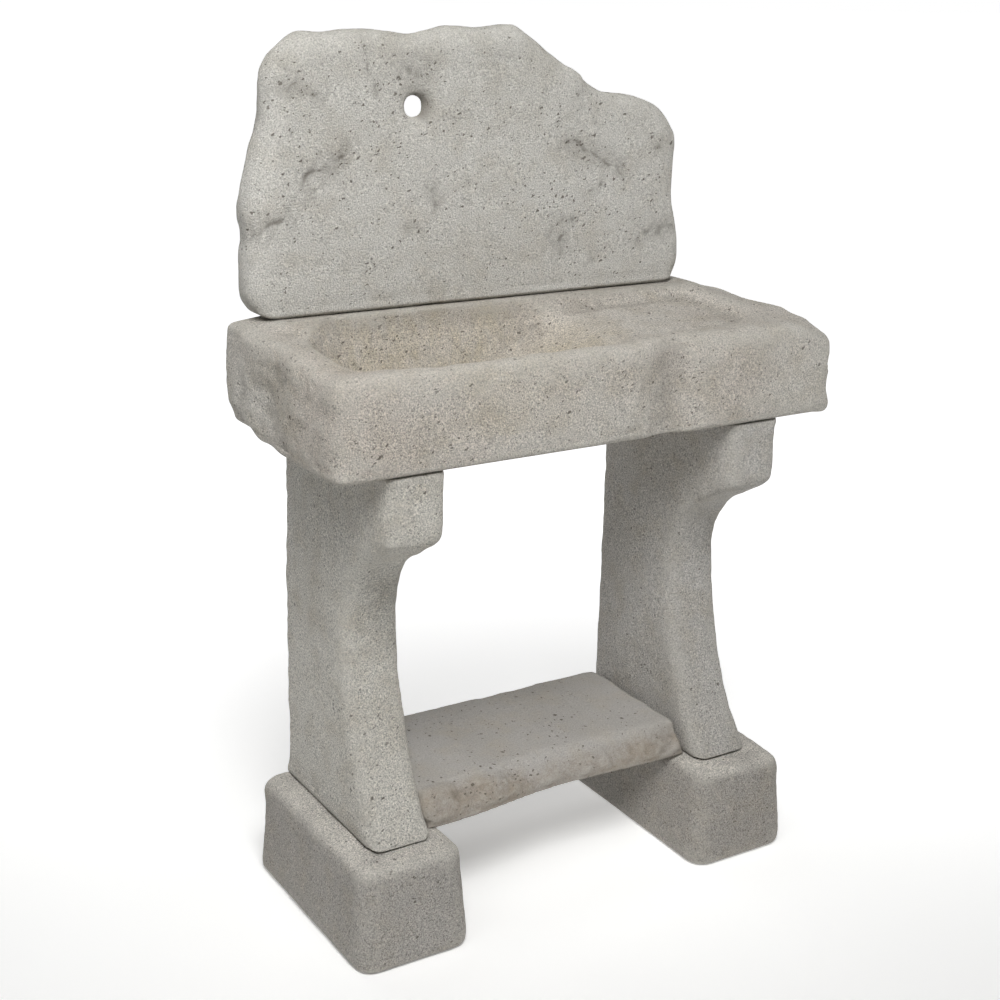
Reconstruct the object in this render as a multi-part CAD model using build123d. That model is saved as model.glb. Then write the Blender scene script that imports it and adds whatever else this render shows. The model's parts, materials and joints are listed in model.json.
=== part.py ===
from build123d import *
import math
import os

# Cast-stone fountain: a wash basin with a drainer on two legs, a shelf slab and a hewn back panel.
# Millimetres, +Z up, front towards -Y. The origin is on the floor, at the middle of the overall box.

# Setting beds between the castings, kept back from the edges so that the joints read as dark lines
bed_thickness = 3.0
bed_inset = 12.0
shelf_bed_thickness = 2.0
shelf_bed_inset = 30.0  # from the shelf's front and rear
shelf_bed_side_gap = 1.0
panel_bed_thickness = 3.0
panel_bed_inset = 14.0  # from the wall plane and from the panel's rounded ends

# Legs
leg_height = 540.0
leg_thickness = 95.0
leg_spacing = 562.0  # centre to centre
leg_foot_depth = 288.0  # rear face to the toe
leg_waist_depth = 188.0
leg_outer_batter = 8.0  # the outer face leans in towards the top
corbel_height = 94.0
corbel_setback = 6.0  # corbel front behind the basin front
corbel_corner_radius = 20.0
throat_depth = 235.0  # where the corbel's underside runs into the curve
throat_drop = 48.0  # below the corbel's front edge
throat_radius = 45.0
waist_drop = 101.0  # below the throat
leg_edge_radius = 16.0
leg_rear_radius = 5.0

# Feet
foot_height = 152.0
foot_outer_margin = 37.5  # foot top beyond the leg's outer face
foot_ledge = 26.5  # foot top inside the leg's inner face, which carries the shelf
foot_toe_margin = 43.0  # foot top in front of the leg's toe
foot_flare = 9.0  # each side is this much wider at the floor
foot_corner_radius = 27.0
foot_top_radius = 17.0
foot_base_radius = 9.0

# Shelf slab
shelf_thickness = 46.0
shelf_depth = 264.0
shelf_end_gap = 3.0
shelf_pitch_depth = 34.0  # pitched front: from the top edge to the lower front edge
shelf_pitch_height = 32.0
shelf_edge_radius = 4.0

# Broken front edge of the shelf: across from its left end, back from its front
shelf_front_points = [(0, 0), (110, 4), (200, 15), (350, 12), (466, 8)]

# Basin
basin_width = 819.0  # along the wall
basin_depth = 323.0
basin_offset = 1.5  # basin middle to the right of the stand's middle
basin_left_skew = 12.0  # the left end runs this much further out at the wall
basin_seat_height = 149.0  # underside to the level seat of the panel
basin_front_height = 124.0  # underside to the front rim
basin_rim_radius = 20.0  # along the front top edge
basin_rear_radius = 12.0
basin_base_radius = 11.0
basin_front_base_radius = 12.0
basin_left_end_radius = 14.0  # all round each end
basin_right_end_radius = 16.0
end_fall_length = 66.0  # the worn right end falls away over this length
end_fall_drop = 23.0
flute_position = 524.0  # shallow flute in the front, from the left end
flute_width = 96.0
flute_depth = 12.0
end_hollow_height = 44.0  # hewn hollow along the right end, above the underside
end_hollow_radius = 24.0
end_hollow_depth = 8.0

# Bowl and drainer
bowl_length = 432.0
bowl_left_rim = 70.0
bowl_front_rim = 32.0
seat_margin = 2.0  # level seat in front of the panel
bowl_seat_margin = 3.0  # bowl edge in front of the seat
bowl_corner_radius = 82.0
bowl_wall_angle = 16.0
bowl_floor_thickness = 44.0
bowl_floor_radius = 36.0
bowl_floor_length = 300.0  # from the bowl's left edge to the foot of the slope
bowl_slope_angle = 31.0  # up towards the drainer
bowl_lip_radius = 11.0  # along the bowl and the drainer
drainer_right_rim = 76.0
drainer_front_rim = 60.0
drainer_overlap = 20.0  # straight sides of the drainer and of the bowl overlap by this much
drainer_rear_margin = 5.0  # drainer edge in front of the bowl's rear edge
drainer_depth = 15.0  # below the seat, at the rear
drainer_forward_tilt = 4.6
drainer_side_tilt = 0.9  # falls towards the bowl
drainer_corner_radius = 60.0
drainer_wall_angle = 52.0
cut_start = 20.0  # hollows are cut from this far above the seat

# Back panel
panel_width = 711.0
panel_height = 385.0
panel_foot_thickness = 60.0
panel_lean = 16.0  # the front leans back by this much over the height
panel_left_overhang = 24.5  # panel's left side inside the basin's left end
panel_corner_radius = 40.0  # where two hewn sides meet
panel_lower_corner_radius = 34.0
panel_front_radius = 22.0
panel_rear_radius = 5.0
spout_across = 252.0  # spout hole from the panel's left side
spout_height = 276.0  # spout hole above the panel's foot
spout_hole_radius = 16.0
spout_wall = 30.0  # stone left in front of the rear pocket
spout_flare_radius = 9.0
spout_pocket_radius = 52.0

# Hewn outline of the panel: across from its left side, up from its foot
panel_corners = [
    (0, 150), (32, 268), (39, 335), (84, 375), (200, 374), (254, 367), (308, 382), (350, 377),
    (414, 383), (562, 285), (616, 284), (674, 264), (702, 218), (697, 140), (711, 70),
]

# Dowels
dowel_radius = 6.0
dowel_clearance = 0.3
dowel_end_gap = 0.5
dowel_inset = 60.0  # from the front and rear faces that it joins
leg_dowel_embed = 70.0
foot_dowel_embed = 70.0
basin_dowel_embed = 28.0
panel_dowel_radius = 7.0
panel_dowel_inset = 130.0  # from the panel's ends
panel_dowel_embed = 90.0
panel_dowel_basin_embed = 60.0

# Waste in the bowl floor
waste_from_slope = 118.0  # outlet's middle from the foot of the slope
waste_flange_radius = 43.0
waste_flange_thickness = 4.0
waste_flange_bevel = 1.0
waste_tail_radius = 24.0
waste_tail_bore_radius = 20.0
waste_tail_length = 78.0  # below the flange
waste_spigot_radius = 23.0
waste_spigot_length = 22.0
waste_hole_clearance = 1.5
waste_grate_hole_radius = 4.5
waste_grate_ring_radius = 12.5
waste_grate_count = 6
waste_seal_thickness = 2.0
waste_washer_radius = 36.0
waste_washer_thickness = 3.0
waste_nut_flats = 62.0
waste_nut_height = 12.0
waste_thread_clearance = 0.3
waste_leg_clearance = 12.0  # from the washer to the leg beside it, at least

near = 1.0  # an edge this close to a plane counts as lying on it

# Heights of the courses
leg_bottom = foot_height + bed_thickness
leg_top = leg_bottom + leg_height
basin_bottom = leg_top + bed_thickness
basin_seat = basin_bottom + basin_seat_height
basin_front_top = basin_bottom + basin_front_height
panel_bottom = basin_seat + panel_bed_thickness
panel_top = panel_bottom + panel_height
shelf_bottom = foot_height + shelf_bed_thickness

# Depths: every casting is flush with the wall plane at the rear
corbel_depth = basin_depth - corbel_setback
foot_depth = leg_foot_depth + foot_toe_margin
overall_depth = max(foot_depth + foot_flare, basin_depth)
wall_y = overall_depth / 2
basin_front_y = wall_y - basin_depth
seat_front_y = wall_y - panel_foot_thickness - seat_margin
bowl_rear_y = seat_front_y - bowl_seat_margin
panel_bed_depth = panel_foot_thickness - panel_front_radius - panel_bed_inset
panel_bed_y = wall_y - panel_bed_inset - panel_bed_depth / 2

# Places across: the basin is centred on the origin, the stand a little to its left
stand_x = -basin_offset
left_leg_x = stand_x - leg_spacing / 2
leg_inner_x = left_leg_x + leg_thickness / 2
leg_outer_x = left_leg_x - leg_thickness / 2
foot_inner_x = leg_inner_x + foot_ledge
foot_outer_x = leg_outer_x - foot_outer_margin
basin_left_x = -basin_width / 2
basin_right_x = basin_width / 2
bowl_left_x = basin_left_x + bowl_left_rim
bowl_right_x = bowl_left_x + bowl_length
bowl_front_y = basin_front_y + bowl_front_rim
bowl_middle = ((bowl_left_x + bowl_right_x) / 2, (bowl_front_y + bowl_rear_y) / 2)
waste_clear_x = leg_inner_x + waste_washer_radius + waste_leg_clearance
waste_middle = (max(bowl_left_x + bowl_floor_length - waste_from_slope, waste_clear_x), bowl_middle[1])
bowl_floor_z = basin_bottom + bowl_floor_thickness
panel_left_x = basin_left_x + panel_left_overhang
panel_right_x = panel_left_x + panel_width
spout_x = panel_left_x + spout_across
spout_z = panel_bottom + spout_height

mirror_plane = Plane.YZ.offset(stand_x)


def across(profile, low_x, high_x):
    # A side profile in Y and Z, carried across from one X to another
    return Pos(low_x, 0, 0) * extrude(Plane.YZ * profile, high_x - low_x)


def through(profile):
    # A front profile in X and Z, carried through the whole depth
    return Pos(0, overall_depth, 0) * extrude(Plane.XZ * profile, 2 * overall_depth)


def polygon(points):
    return make_face(Polyline(*points, close=True))


def inside(value, low, high):
    return low + near < value < high - near


def upright_pins(radius, bottom, top, places):
    return [Pos(x, y, bottom) * extrude(Circle(radius), top - bottom) for x, y in places]


def drilled(solid, pins):
    for pin in pins:
        solid = solid - pin
    return solid


# Dowels: where they stand, and the pins and holes of one joint
def leg_places(depth):
    return [(left_leg_x, wall_y - dowel_inset), (left_leg_x, wall_y - depth + dowel_inset)]


panel_places = [
    (panel_left_x + panel_dowel_inset, panel_bed_y),
    (panel_right_x - panel_dowel_inset, panel_bed_y),
]
foot_joint = (foot_height - foot_dowel_embed, leg_bottom + leg_dowel_embed, leg_places(leg_foot_depth))
leg_joint = (leg_top - leg_dowel_embed, basin_bottom + basin_dowel_embed, leg_places(corbel_depth))
panel_joint = (basin_seat - panel_dowel_basin_embed, panel_bottom + panel_dowel_embed, panel_places)


def joint_pins(joint, radius=dowel_radius):
    bottom, top, places = joint
    return upright_pins(radius, bottom, top, places)


def joint_holes(joint, radius=dowel_radius):
    bottom, top, places = joint
    return upright_pins(radius + dowel_clearance, bottom - dowel_end_gap, top + dowel_end_gap, places)


# Leg: a side profile with a concave front, cut to the slight batter of its outer face
def leg_side():
    toe = (wall_y - leg_foot_depth, leg_bottom)
    corbel_z = leg_top - corbel_height
    throat = (wall_y - throat_depth, corbel_z - throat_drop)
    waist = (wall_y - leg_waist_depth, throat[1] - waist_drop)
    nose = (wall_y - corbel_depth, corbel_z)
    lower_curve = TangentArc(waist, toe, tangent=(0, -1))
    upper_curve = TangentArc(waist, throat, tangent=(0, 1))
    outline = Polyline(throat, nose, (nose[0], leg_top), (wall_y, leg_top), (wall_y, leg_bottom), toe)
    side = make_face(lower_curve + upper_curve + outline)
    side = fillet(side.vertices().sort_by_distance(Vector(*nose))[0], corbel_corner_radius)
    return fillet(side.vertices().sort_by_distance(Vector(*throat))[0], throat_radius)


def make_leg():
    block = across(leg_side(), leg_outer_x, leg_inner_x)
    batter = polygon([
        (leg_outer_x, leg_bottom), (leg_inner_x, leg_bottom),
        (leg_inner_x, leg_top), (leg_outer_x + leg_outer_batter, leg_top),
    ])
    leg = block & through(batter)
    sides = leg.faces().sort_by(SortBy.AREA)[-2:]
    side_edges = sides[0].edges() + sides[1].edges()
    upright = side_edges.filter_by(lambda e: inside(e.center().Z, leg_bottom, leg_top))
    leg = fillet(upright.filter_by(lambda e: e.center().Y < wall_y - near), leg_edge_radius)
    rear_edges = leg.edges().filter_by(lambda e: e.center().Y > wall_y - near)
    leg = fillet(rear_edges.filter_by(lambda e: inside(e.center().Z, leg_bottom, leg_top)), leg_rear_radius)
    return drilled(leg, joint_holes(foot_joint) + joint_holes(leg_joint))


# Foot: a block that flares to the floor at the front and sides
def make_foot():
    side = polygon([
        (wall_y, 0), (wall_y, foot_height),
        (wall_y - foot_depth, foot_height), (wall_y - foot_depth - foot_flare, 0),
    ])
    front = polygon([
        (foot_outer_x - foot_flare, 0), (foot_inner_x + foot_flare, 0),
        (foot_inner_x, foot_height), (foot_outer_x, foot_height),
    ])
    foot = across(side, foot_outer_x - foot_flare, foot_inner_x + foot_flare) & through(front)
    front_corners = foot.edges().filter_by(lambda e: e.center().Y < 0 and inside(e.center().Z, 0, foot_height))
    foot = fillet(front_corners, foot_corner_radius)
    free_edges = foot.edges().filter_by(lambda e: e.center().Y < wall_y - near)
    foot = fillet(free_edges.filter_by(lambda e: e.center().Z > foot_height - near), foot_top_radius)
    free_edges = foot.edges().filter_by(lambda e: e.center().Y < wall_y - near)
    foot = fillet(free_edges.filter_by(lambda e: e.center().Z < near), foot_base_radius)
    return drilled(foot, joint_holes(foot_joint))


# Shelf slab: broken front edge in plan, pitched off from the top
def make_shelf():
    low_x = leg_inner_x + shelf_end_gap
    high_x = 2 * stand_x - low_x
    front_y = wall_y - shelf_depth
    stretch = (high_x - low_x) / shelf_front_points[-1][0]
    broken = [(low_x + x * stretch, front_y + y) for x, y in shelf_front_points]
    outline = Polyline(broken[-1], (high_x, wall_y), (low_x, wall_y), broken[0])
    slab = Pos(0, 0, shelf_bottom) * extrude(make_face(Spline(*broken) + outline), shelf_thickness)
    top = slab.faces().sort_by(Axis.Z)[-1]
    nose = top.edges().sort_by(Axis.Y)[0]
    slab = chamfer(nose, shelf_pitch_height, shelf_pitch_depth, reference=top)
    return fillet(slab.faces().sort_by(Axis.Z)[-1].edges(), shelf_edge_radius)


def make_shelf_beds():
    ledge = foot_ledge - foot_top_radius
    middle = (leg_inner_x + ledge / 2, wall_y - shelf_depth / 2)
    plan = Rectangle(ledge - 2 * shelf_bed_side_gap, shelf_depth - 2 * shelf_bed_inset)
    bed = Pos(*middle, foot_height) * extrude(plan, shelf_bed_thickness)
    return [bed, mirror(bed, mirror_plane)]


# Setting bed under or over a leg, with its dowels passing through
def make_leg_bed(joint, depth, bottom, batter):
    plan = Rectangle(leg_thickness - batter - 2 * bed_inset, depth - 2 * bed_inset)
    bed = Pos(left_leg_x + batter / 2, wall_y - depth / 2, bottom) * extrude(plan, bed_thickness)
    return drilled(bed, joint_holes(joint))


# Basin: a rounded side profile, level at the rear and falling to the front, with each end rounded off
def basin_side():
    seat_front = (seat_front_y, basin_seat)
    front_top = (basin_front_y, basin_front_top)
    front_base = (basin_front_y, basin_bottom)
    rear_base = (wall_y, basin_bottom)
    rear_top = (wall_y, basin_seat)
    fall = TangentArc(seat_front, front_top, tangent=(-1, 0))
    side = make_face(fall + Polyline(front_top, front_base, rear_base, rear_top, seat_front))
    rounded = [
        (front_top, basin_rim_radius), (front_base, basin_front_base_radius),
        (rear_base, basin_base_radius), (rear_top, basin_rear_radius),
    ]
    for corner, radius in rounded:
        side = fillet(side.vertices().sort_by_distance(Vector(*corner))[0], radius)
    return side


def basin_plan():
    return polygon([
        (basin_left_x, wall_y), (basin_left_x + basin_left_skew, basin_front_y),
        (basin_right_x, basin_front_y), (basin_right_x, wall_y),
    ])


def make_end_fall_cut():
    return through(polygon([
        (basin_right_x - end_fall_length, basin_seat), (basin_right_x, basin_seat - end_fall_drop),
        (basin_right_x, basin_seat + cut_start), (basin_right_x - end_fall_length, basin_seat + cut_start),
    ]))


def make_basin_block():
    block = across(basin_side(), basin_left_x, basin_right_x) & extrude(basin_plan(), basin_seat + cut_start)
    block = block - make_end_fall_cut()
    block = fillet(block.faces().sort_by(Axis.X)[0].edges(), basin_left_end_radius)
    return fillet(block.faces().sort_by(Axis.X)[-1].edges(), basin_right_end_radius)


def make_flute_cut():
    radius = (flute_width ** 2 / 4 + flute_depth ** 2) / (2 * flute_depth)
    middle = (basin_left_x + flute_position, basin_front_y + flute_depth - radius)
    return Pos(*middle, basin_bottom) * extrude(Circle(radius), basin_seat_height)


def make_end_hollow_cut():
    hollow_x = basin_right_x + end_hollow_radius - end_hollow_depth
    place = Pos(hollow_x, wall_y, basin_bottom + end_hollow_height)
    return place * extrude(Plane.XZ * Circle(end_hollow_radius), basin_depth)


def hollow_cut(width, depth, corner_radius, drop, angle):
    # Tool for a hollow: its mouth is level with the origin, and it starts a little higher with the same slope
    spread = cut_start * math.tan(math.radians(angle))
    mouth = RectangleRounded(width + 2 * spread, depth + 2 * spread, corner_radius + spread)
    return extrude(Pos(0, 0, cut_start) * mouth, drop + cut_start, dir=(0, 0, -1), taper=angle)


def make_bowl_cut():
    drop = basin_seat - bowl_floor_z
    cut = hollow_cut(bowl_length, bowl_rear_y - bowl_front_y, bowl_corner_radius, drop, bowl_wall_angle)
    slope_foot = bowl_floor_length - bowl_length / 2
    slope_run = bowl_length - bowl_floor_length + cut_start * math.tan(math.radians(bowl_wall_angle))
    slope_top = slope_run * math.tan(math.radians(bowl_slope_angle)) - drop
    slope = polygon([(slope_foot, -drop), (slope_foot + slope_run, -drop), (slope_foot + slope_run, slope_top)])
    cut = cut - through(slope)
    low_faces = cut.faces().sort_by(Axis.Z)[0:2]
    low_edges = low_faces[0].edges() + low_faces[1].edges()
    return Pos(*bowl_middle, basin_seat) * fillet(low_edges, bowl_floor_radius)


def make_drainer_cut():
    low_x = bowl_right_x - bowl_corner_radius - drainer_corner_radius - drainer_overlap
    high_x = basin_right_x - drainer_right_rim
    low_y = basin_front_y + drainer_front_rim
    half_depth = (bowl_rear_y - drainer_rear_margin - low_y) / 2
    cut = hollow_cut(high_x - low_x, 2 * half_depth, drainer_corner_radius, drainer_depth, drainer_wall_angle)
    turn = Rot(drainer_forward_tilt, -drainer_side_tilt, 0)
    rear_drop = half_depth * math.tan(math.radians(drainer_forward_tilt))
    return Pos((low_x + high_x) / 2, low_y + half_depth, basin_seat - rear_drop) * turn * cut


def make_basin():
    block = make_basin_block() - make_flute_cut() - make_end_hollow_cut()
    block = block - make_bowl_cut()
    block = block - make_drainer_cut()
    falling_top = block.faces().filter_by(lambda f: f.inner_wires() and f.center().Z > basin_front_top)[0]
    block = fillet(falling_top.inner_wires()[0].edges(), bowl_lip_radius)
    right_leg_holes = [mirror(hole, mirror_plane) for hole in joint_holes(leg_joint)]
    block = drilled(block, joint_holes(leg_joint) + right_leg_holes)
    block = drilled(block, joint_holes(panel_joint, panel_dowel_radius))
    return drilled(block, make_waste_room())


# Back panel: hewn outline, leaning front with soft edges, flared spout hole with a pocket behind it
def panel_outline():
    stretch_x = panel_width / max(x for x, z in panel_corners)
    stretch_z = panel_height / max(z for x, z in panel_corners)
    hewn = [(panel_left_x + x * stretch_x, panel_bottom + z * stretch_z) for x, z in panel_corners]
    outline = polygon(hewn + [(hewn[-1][0], panel_bottom), (hewn[0][0], panel_bottom)])
    outline = fillet(outline.vertices().filter_by(lambda v: v.Y > panel_bottom + near), panel_corner_radius)
    return fillet(outline.vertices().filter_by(lambda v: v.Y < panel_bottom + near), panel_lower_corner_radius)


def panel_front_y(z):
    return wall_y - panel_foot_thickness + panel_lean * (z - panel_bottom) / panel_height


def broad_faces(panel):
    # Front and rear, in that order
    return panel.faces().sort_by(SortBy.AREA)[-2:].sort_by(Axis.Y)


def spout_cylinder(radius, low_y, high_y):
    return Pos(spout_x, high_y, spout_z) * extrude(Plane.XZ * Circle(radius), high_y - low_y)


def make_panel():
    leaning_side = polygon([
        (wall_y + near, basin_seat), (panel_front_y(basin_seat), basin_seat),
        (panel_front_y(panel_top), panel_top), (wall_y + near, panel_top),
    ])
    block = Pos(0, wall_y, 0) * extrude(Plane.XZ * panel_outline(), panel_foot_thickness)
    panel = block & across(leaning_side, basin_left_x, basin_right_x)
    panel = fillet(broad_faces(panel)[0].edges(), panel_front_radius)
    panel = fillet(broad_faces(panel)[1].edges(), panel_rear_radius)
    panel = panel - spout_cylinder(spout_hole_radius, panel_front_y(panel_bottom), wall_y)
    panel = panel - spout_cylinder(spout_pocket_radius, panel_front_y(spout_z) + spout_wall, wall_y)
    panel = fillet(broad_faces(panel)[0].inner_wires()[0].edges(), spout_flare_radius)
    return drilled(panel, joint_holes(panel_joint, panel_dowel_radius))


def make_panel_bed():
    low_x = panel_left_x + panel_lower_corner_radius + panel_bed_inset
    high_x = panel_right_x - panel_lower_corner_radius - panel_bed_inset
    plan = Rectangle(high_x - low_x, panel_bed_depth)
    bed = Pos((low_x + high_x) / 2, panel_bed_y, basin_seat) * extrude(plan, panel_bed_thickness)
    return drilled(bed, joint_holes(panel_joint, panel_dowel_radius))


# Waste: a grated flange let into the bowl floor, clamped by a nut under the basin
waste_seat_z = bowl_floor_z - waste_flange_thickness - waste_seal_thickness
waste_flange_bottom = waste_seat_z + waste_seal_thickness
waste_tail_end = waste_flange_bottom - waste_tail_length
waste_spigot_top = waste_tail_end + waste_spigot_length
waste_hole_radius = waste_tail_radius + waste_hole_clearance
thread_hole_radius = waste_tail_radius + waste_thread_clearance
waste_washer_bottom = basin_bottom - waste_washer_thickness
waste_nut_bottom = waste_washer_bottom - waste_nut_height


def disc(radius, bottom, top):
    return Pos(*waste_middle, bottom) * extrude(Circle(radius), top - bottom)


def ring(outer, inner, bottom, top):
    return disc(outer, bottom, top) - disc(inner, bottom, top)


def make_waste_room():
    rebate = disc(waste_flange_radius + waste_hole_clearance, waste_seat_z, bowl_floor_z)
    return [rebate, disc(waste_hole_radius, basin_bottom, waste_seat_z)]


def make_waste_body():
    flange = disc(waste_flange_radius, waste_flange_bottom, bowl_floor_z)
    flange = chamfer(flange.edges().sort_by(Axis.Z)[-1], waste_flange_bevel)
    tail = disc(waste_tail_radius, waste_spigot_top, waste_flange_bottom)
    spigot = disc(waste_spigot_radius, waste_tail_end, waste_spigot_top)
    body = flange + tail + spigot - disc(waste_tail_bore_radius, waste_tail_end, waste_flange_bottom)
    grate_hole = disc(waste_grate_hole_radius, waste_flange_bottom, bowl_floor_z)
    turns = PolarLocations(waste_grate_ring_radius, waste_grate_count)
    ring_holes = [Pos(*turn.position) * grate_hole for turn in turns]
    return drilled(body, [grate_hole] + ring_holes)


def make_waste_nut():
    hexagon = RegularPolygon(waste_nut_flats / 2, 6, major_radius=False)
    nut = Pos(*waste_middle, waste_nut_bottom) * extrude(hexagon, waste_nut_height)
    return nut - disc(thread_hole_radius, waste_nut_bottom, waste_washer_bottom)


left_foot = make_foot()
left_leg = make_leg()
left_foot_bed = make_leg_bed(foot_joint, leg_foot_depth, foot_height, 0)
left_leg_bed = make_leg_bed(leg_joint, corbel_depth, leg_top, leg_outer_batter)
left_foot_dowels = joint_pins(foot_joint)
left_leg_dowels = joint_pins(leg_joint)

pieces = {
    "left_foot": left_foot,
    "left_leg": left_leg,
    "left_foot_bed": left_foot_bed,
    "left_leg_bed": left_leg_bed,
    "left_foot_dowels": Compound(left_foot_dowels),
    "left_leg_dowels": Compound(left_leg_dowels),
    "right_foot": mirror(left_foot, mirror_plane),
    "right_leg": mirror(left_leg, mirror_plane),
    "right_foot_bed": mirror(left_foot_bed, mirror_plane),
    "right_leg_bed": mirror(left_leg_bed, mirror_plane),
    "right_foot_dowels": Compound([mirror(pin, mirror_plane) for pin in left_foot_dowels]),
    "right_leg_dowels": Compound([mirror(pin, mirror_plane) for pin in left_leg_dowels]),
    "shelf_slab": make_shelf(),
    "shelf_beds": Compound(make_shelf_beds()),
    "basin": make_basin(),
    "back_panel": make_panel(),
    "panel_bed": make_panel_bed(),
    "panel_dowels": Compound(joint_pins(panel_joint, panel_dowel_radius)),
    "waste_body": make_waste_body(),
    "waste_seal": ring(waste_flange_radius, waste_hole_radius, waste_seat_z, waste_flange_bottom),
    "waste_washer": ring(waste_washer_radius, thread_hole_radius, waste_washer_bottom, basin_bottom),
    "waste_backnut": make_waste_nut(),
}

os.makedirs("parts", exist_ok=True)
for node, piece in pieces.items():
    export_step(piece, "parts/" + node + ".step")
    print(node)
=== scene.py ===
import json
import math

import bpy
import bmesh
import numpy as np
from mathutils import Matrix, Vector


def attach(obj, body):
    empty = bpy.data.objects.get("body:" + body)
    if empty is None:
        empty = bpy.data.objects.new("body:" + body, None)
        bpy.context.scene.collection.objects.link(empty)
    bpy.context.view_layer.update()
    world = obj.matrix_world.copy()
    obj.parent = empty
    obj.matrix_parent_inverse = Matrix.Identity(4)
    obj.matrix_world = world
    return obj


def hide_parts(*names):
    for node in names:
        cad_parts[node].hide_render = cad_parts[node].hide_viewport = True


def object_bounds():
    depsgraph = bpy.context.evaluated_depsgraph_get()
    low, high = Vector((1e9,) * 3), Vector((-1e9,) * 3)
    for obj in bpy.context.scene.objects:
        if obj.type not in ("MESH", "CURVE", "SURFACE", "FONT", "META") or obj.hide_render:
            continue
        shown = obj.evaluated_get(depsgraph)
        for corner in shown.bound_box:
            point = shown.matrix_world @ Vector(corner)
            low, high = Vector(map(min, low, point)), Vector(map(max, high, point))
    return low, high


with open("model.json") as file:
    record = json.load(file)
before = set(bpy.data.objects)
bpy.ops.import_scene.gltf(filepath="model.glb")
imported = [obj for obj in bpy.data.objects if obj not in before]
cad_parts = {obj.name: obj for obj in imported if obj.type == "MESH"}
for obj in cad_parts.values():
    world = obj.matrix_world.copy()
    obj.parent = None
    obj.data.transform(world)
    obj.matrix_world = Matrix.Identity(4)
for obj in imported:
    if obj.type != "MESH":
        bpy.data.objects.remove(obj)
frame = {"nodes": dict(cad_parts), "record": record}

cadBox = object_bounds()
mm = 0.001


def linear(hexText):
    shares = [int(hexText[i:i + 2], 16) / 255 for i in (1, 3, 5)]
    return [c / 12.92 if c <= 0.04045 else ((c + 0.055) / 1.055) ** 2.4 for c in shares] + [1.0]


def setInputs(tree, node, inputs):
    for key, value in inputs.items():
        if isinstance(value, bpy.types.NodeSocket):
            tree.links.new(value, node.inputs[key])
        else:
            node.inputs[key].default_value = value


def addNode(tree, kind, inputs={}, **settings):
    node = tree.nodes.new(kind)
    for name, value in settings.items():
        setattr(node, name, value)
    setInputs(tree, node, inputs)
    return node


def perMetre(size):  # texture scale that gives features of this many millimetres
    return 1.0 / (size * mm)


def startMaterial(name):
    material = bpy.data.materials.new(name)
    material.use_nodes = True
    tree = material.node_tree
    place = addNode(tree, "ShaderNodeTexCoord").outputs["Object"]
    return material, tree, tree.nodes["Principled BSDF"], place


# Sizes in millimetres. Each casting adds its own pale and deep tone.
stoneLook = {
    "ochre": "#b4aa98", "stainAndPaintedLight": "#aea48d", "rubbedAndHighlit": "#cfccc3", "hollow": "#5f584e",
    "cloudSize": 240, "mottleSize": 46, "mottleShare": 0.40,
    "grainSize": 2.2, "grainShade": 0.62, "grainRelief": 3.6,
    # Air holes: spacing, the share of places that keep one, and the largest radius
    "pits": ((5.5, 0.70, 1.9), (10.0, 0.60, 2.9), (20.0, 0.45, 3.8)),
    "bendSize": 3.6, "bendReach": 5.0, "crowdSize": 70, "pitSlant": -0.5, "pitStretch": (1.5, 1.3, 0.75),
    "pitShade": 0.82, "pitDepth": 1.4,
    "rubAndHighlightShare": 0.35, "hollowShare": 0.28, "brokenShade": 0.4, "roughness": 0.92, "shine": 0.25,
}
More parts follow.
